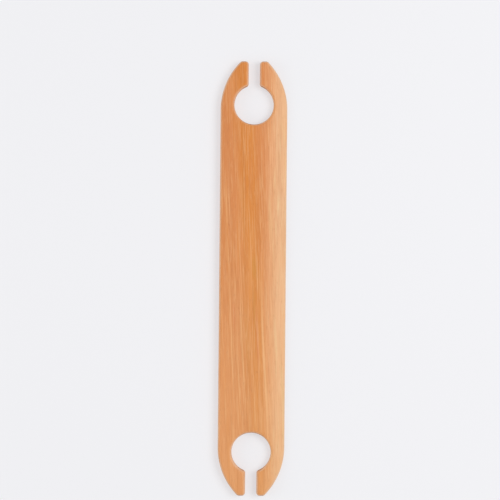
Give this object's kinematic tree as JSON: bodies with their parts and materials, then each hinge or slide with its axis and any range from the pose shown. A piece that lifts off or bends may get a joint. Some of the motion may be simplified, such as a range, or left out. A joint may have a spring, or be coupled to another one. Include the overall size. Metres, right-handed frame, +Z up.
{
  "type": "weaving shuttle",
  "caption": "Flat hardwood belt shuttle with a keyhole notch in each rounded end and one long edge thinned as a beater.",
  "frame": {"origin": "centre of the flat back, on the surface that the shuttle lies on", "axes": "+Y along the length, from notch to notch; +X across the board, towards the thinned beating edge; +Z up through the thickness"},
  "size_m": [0.0312, 0.2032, 0.0048],
  "materials": {
    "hardwood": "straight-grained hardwood, sanded and oiled to a satin"
  },
  "bodies": {
    "root": {"shuttle_body": "hardwood"}
  },
  "joints": []
}
